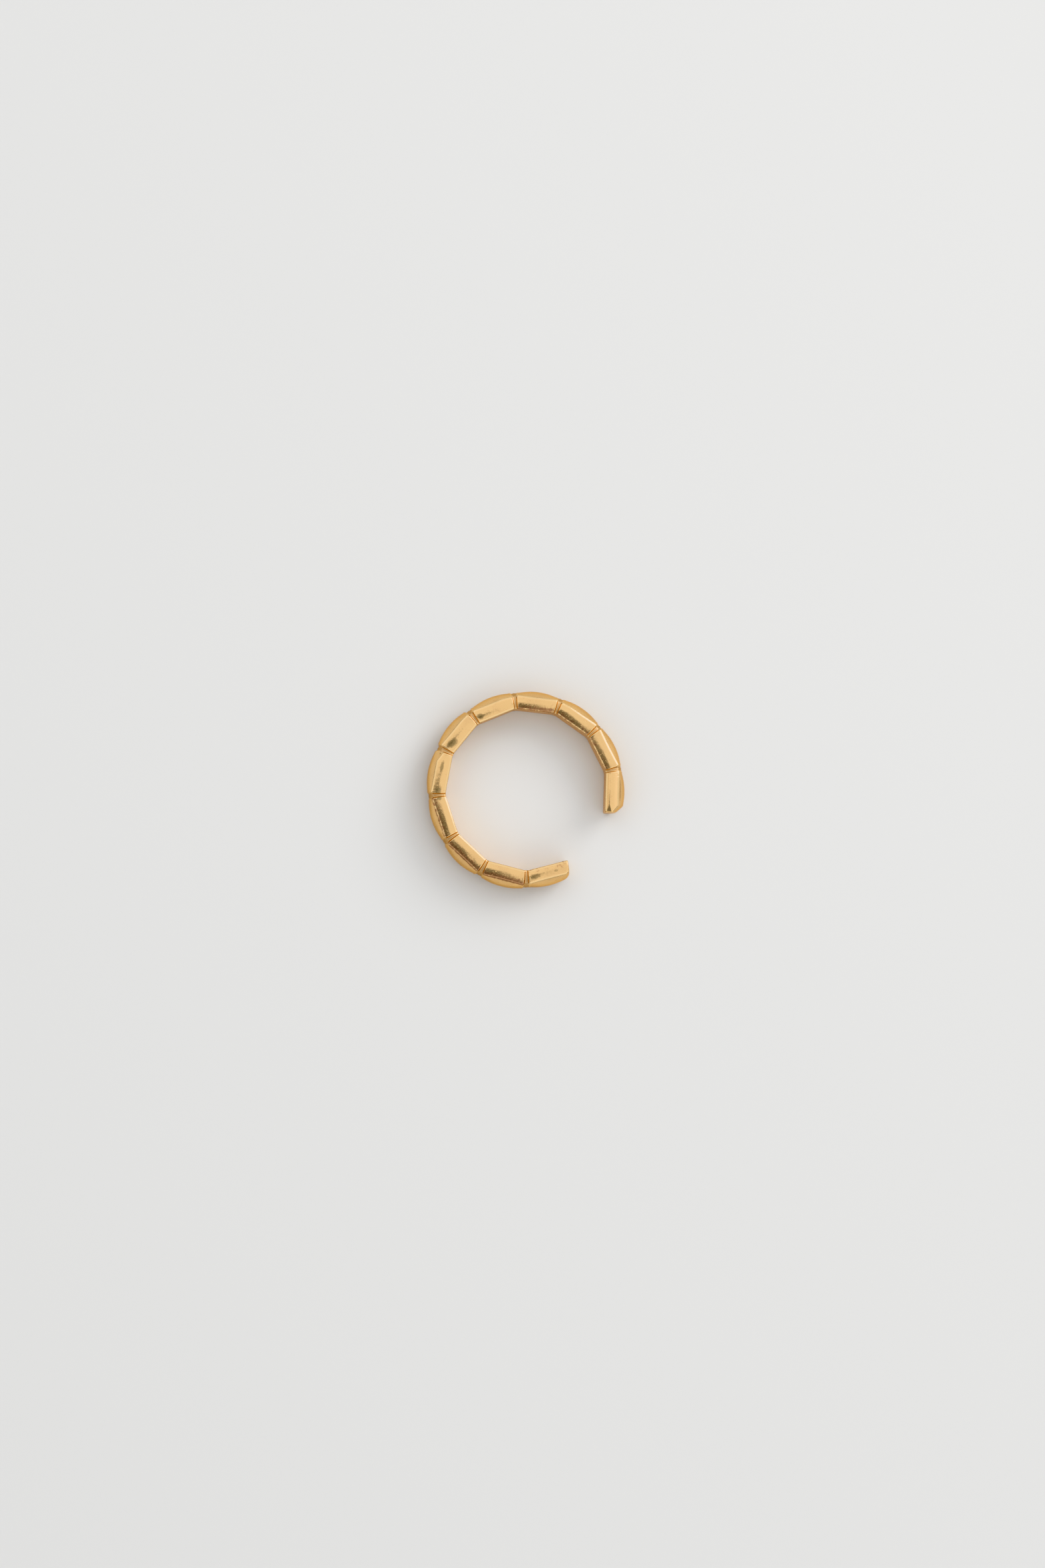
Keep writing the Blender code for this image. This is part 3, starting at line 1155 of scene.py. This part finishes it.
roughness = sum((marks[word] * share for word, share in ROUGHNESS.items()), POLISH)
relief = sum((marks[word] * rise for word, rise in RELIEF.items()), 0.0)
bumps = {"Distance": MICROMETRE, "Height": relief - spotted["depth"]}
surface = {
    "Base Color": color,
    "Metallic": 1.0,
    "Roughness": roughness + spotted["satin"],
    "Specular Tint": opaque(EDGE_TINT),
    "Normal": gilding.node("ShaderNodeBump", (), bumps),
}
shader = gilding.node("ShaderNodeBsdfPrincipled", (), surface)
gilding.node("ShaderNodeOutputMaterial", (), {"Surface": shader})
print("gold has", len(gilding.tree.nodes), "nodes")

# %% [markdown]
# ## From the tree to a plain mesh
#
# A modifier runs the tree on the path. Its inputs are set by each socket's identifier, since a
# name is only a label. The result is copied into a plain mesh and the modifier is taken off,
# so the band can be measured and exported without the tree.
#
# Then the mesh is tested. A closed shell has no open edges, and its volume is positive if its
# faces point outwards.


# %% Run the tree and keep its result as a plain mesh
def socket_named(group, name):
    """Return the identifier of a tree's input, which is how a modifier knows it."""
    items = group.interface.items_tree
    return next(item.identifier for item in items if item.in_out == "INPUT" and item.name == name)


def run_tree(thing, group, inputs):
    """Give an object a tree with its inputs, and turn the result into the object's mesh."""
    modifier = thing.modifiers.new(group.name, "NODES")
    modifier.node_group = group
    for name, value in inputs.items():
        modifier[socket_named(group, name)] = value
    evaluated = thing.evaluated_get(bpy.context.evaluated_depsgraph_get())
    mesh = bpy.data.meshes.new_from_object(evaluated)
    thing.modifiers.remove(modifier)
    thing.data = mesh
    return mesh


inputs = {**BAND_INPUTS, "Outline": band_outline, "Material": polished_gold}
band_mesh = run_tree(gold_band, band_group, inputs)
band_mesh.name = "gold_band"
bpy.data.objects.remove(band_outline)
print("band:", len(band_mesh.vertices), "points,", len(band_mesh.polygons), "faces")


# %% Test that the mesh is closed and faces out
def measured(mesh):
    """Return a mesh's volume in cubic millimetres and its number of open edges."""
    shape = bmesh.new()
    shape.from_mesh(mesh)
    volume = shape.calc_volume(signed=True) * MILLIMETRES ** 3
    open_edges = sum(1 for edge in shape.edges if not edge.is_manifold)
    shape.free()
    return volume, open_edges


print("volume and open edges:", measured(band_mesh))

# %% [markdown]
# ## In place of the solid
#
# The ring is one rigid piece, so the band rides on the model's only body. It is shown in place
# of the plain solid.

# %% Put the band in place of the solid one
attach(gold_band, "root")
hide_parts("tile_band")
print("gold_band rides on root, in place of tile_band")

# %% [markdown]
# ## Floor
#
# The ring lies on a sheet of pale matt paper. One flat square is enough, since nothing but its
# even shade is seen, and it is so wide that no view reaches its edge.

# %% The floor
FLOOR_SIZE = 4.0
PAPER_COLOR = (0.74, 0.735, 0.72)
PAPER_ROUGHNESS = 0.7


def make_floor():
    """Return a wide pale sheet for the ring to lie on."""
    half = FLOOR_SIZE / 2
    corners = [(-half, -half, 0.0), (half, -half, 0.0), (half, half, 0.0), (-half, half, 0.0)]
    mesh = bpy.data.meshes.new("floor")
    mesh.from_pydata(corners, [], [(0, 1, 2, 3)])
    sheet = bpy.data.objects.new("floor", mesh)
    bpy.context.scene.collection.objects.link(sheet)
    return sheet


floor = make_floor()
paper = bpy.data.materials.new("pale_paper")
paper.use_nodes = True
papering = Tree(paper.node_tree)
paper_values = {"Base Color": opaque(PAPER_COLOR), "Roughness": PAPER_ROUGHNESS}
paper_shader = papering.node("ShaderNodeBsdfPrincipled", (), paper_values)
papering.node("ShaderNodeOutputMaterial", (), {"Surface": paper_shader})
floor.data.materials.append(paper)
print("floor:", FLOOR_SIZE, "metres wide")

# %% [markdown]
# ## Light
#
# A polished face shows the room that it mirrors, not the light that falls on it. So the lights
# are laid out by what the tiles should mirror. Two level softboxes cover the ceiling but for
# its lower left quarter, and a face that leans that way turns dark. One stronger softbox stands
# to the upper right, and gives the thin bright lines along the rims.

# %% The lights
SOFTBOX_HEIGHT = 0.75
SOFTBOX_RADIANCE = 0.84
SOFTBOX_LEFT, SOFTBOX_END = -0.50, 0.60
GAP_X, GAP_Y = 0.025, 0.045
KEY_RADIANCE = 4.0
KEY_SIZE = 0.50
KEY_PLACE = (0.62, 0.46, 0.50)


def add_lamp(name, width, length, radiance, place):
    """Hang a softbox that is as bright as its radiance says, whatever its size."""
    light = bpy.data.lights.new(name, "AREA")
    light.shape = "RECTANGLE"
    light.size = width
    light.size_y = length
    light.energy = radiance * math.pi * width * length
    lamp = bpy.data.objects.new(name, light)
    lamp.location = place
    bpy.context.scene.collection.objects.link(lamp)
    return lamp


def add_softbox(name, low, high):
    """Hang a level softbox between two corners."""
    place = ((low[0] + high[0]) / 2, (low[1] + high[1]) / 2, SOFTBOX_HEIGHT)
    return add_lamp(name, high[0] - low[0], high[1] - low[1], SOFTBOX_RADIANCE, place)


add_softbox("softbox_far", (SOFTBOX_LEFT, GAP_Y), (SOFTBOX_END, SOFTBOX_END))
add_softbox("softbox_right", (GAP_X, -SOFTBOX_END), (SOFTBOX_END, GAP_Y))
key = add_lamp("softbox_key", KEY_SIZE, KEY_SIZE, KEY_RADIANCE, KEY_PLACE)
key.rotation_euler = (-Vector(KEY_PLACE)).to_track_quat("-Z", "Y").to_euler()
print("lights:", len(bpy.data.lights))

# %% [markdown]
# ## Room
#
# Round the lights, the room is a grey that depends on the direction alone: dark at the horizon,
# most of all at the lower left, bright where its walls are, and dark again overhead. The rims'
# bevels mirror the walls, and the leaning tiles the dark part overhead. The view transform is
# the neutral one, because it keeps the gold's own hue in bright places.

# %% The room
WALL_COLOR = (0.95, 0.95, 0.95)
CEILING_COLOR = (0.23, 0.255, 0.285)
SHADED_COLOR = (0.13, 0.125, 0.12)
LIT_COLOR = (0.60, 0.60, 0.60)
LIGHT_SIDE = math.radians(36.0)
LIT_SPAN = (-0.6, 0.9)
WALL_RISE = (0.17, 0.46)
CEILING_RISE = (0.74, 0.95)

world = bpy.data.worlds.new("studio")
bpy.context.scene.world = world
world.use_nodes = True
room = Tree(world.node_tree)
east, north, upward = parted(room.node("ShaderNodeTexCoord", output="Generated"))
towards_light = east * math.cos(LIGHT_SIDE) + north * math.sin(LIGHT_SIDE)
horizon = tinted(opaque(SHADED_COLOR), opaque(LIT_COLOR), smoothed(towards_light, *LIT_SPAN))
walls_up = tinted(horizon, opaque(WALL_COLOR), smoothed(upward, *WALL_RISE))
room_color = tinted(walls_up, opaque(CEILING_COLOR), smoothed(upward, *CEILING_RISE))
backdrop = room.node("ShaderNodeBackground", (), {"Color": room_color})
room.node("ShaderNodeOutputWorld", (), {"Surface": backdrop})
bpy.context.scene.view_settings.view_transform = "Khronos PBR Neutral"
print("room has", len(room.tree.nodes), "nodes")

# %% [markdown]
# ## Camera
#
# The photo looks almost straight down, and the ring is small in it. The camera does the same:
# it is tilted by a few degrees towards the lower left, and its distance follows from the lens
# and from how much of the paper the frame shows. It is aimed so that the ring comes to lie
# where it lies in the photo.

# %% The camera
FRAME_HEIGHT = 0.1690
FRAME_PIXELS = 2352
FRAME_CENTRE_X, FRAME_CENTRE_Y = 784, 1176
RING_PIXEL_X, RING_PIXEL_Y = 790.4, 1183.7
LENS = 0.100
SENSOR = 0.036
NEAR_LIMIT = 0.01
CAMERA_TILT = math.radians(3.5)
CAMERA_SIDE = math.radians(225.0)


def aim_camera():
    """Return a camera that looks down on the ring, as the photo does."""
    data = bpy.data.cameras.new("camera")
    data.lens = LENS * MILLIMETRES
    data.sensor_width = SENSOR * MILLIMETRES
    data.clip_start = NEAR_LIMIT
    pixel = FRAME_HEIGHT / FRAME_PIXELS
    aim_x = (FRAME_CENTRE_X - RING_PIXEL_X) * pixel
    aim_y = (RING_PIXEL_Y - FRAME_CENTRE_Y) * pixel
    aim = Vector((aim_x, aim_y, BAND_WIDTH))
    flat = math.sin(CAMERA_TILT)
    back = Vector((flat * math.cos(CAMERA_SIDE), flat * math.sin(CAMERA_SIDE), math.cos(CAMERA_TILT)))
    right = Vector((0.0, 1.0, 0.0)).cross(back).normalized()
    up = back.cross(right)
    distance = LENS * FRAME_HEIGHT / SENSOR
    turn = Matrix((right, up, back)).transposed().to_4x4()
    camera = bpy.data.objects.new("camera", data)
    camera.matrix_world = Matrix.Translation(aim + back * distance) @ turn
    bpy.context.scene.collection.objects.link(camera)
    return camera


bpy.context.scene.camera = aim_camera()
print("camera at:", [round(number, 3) for number in bpy.context.scene.camera.location])
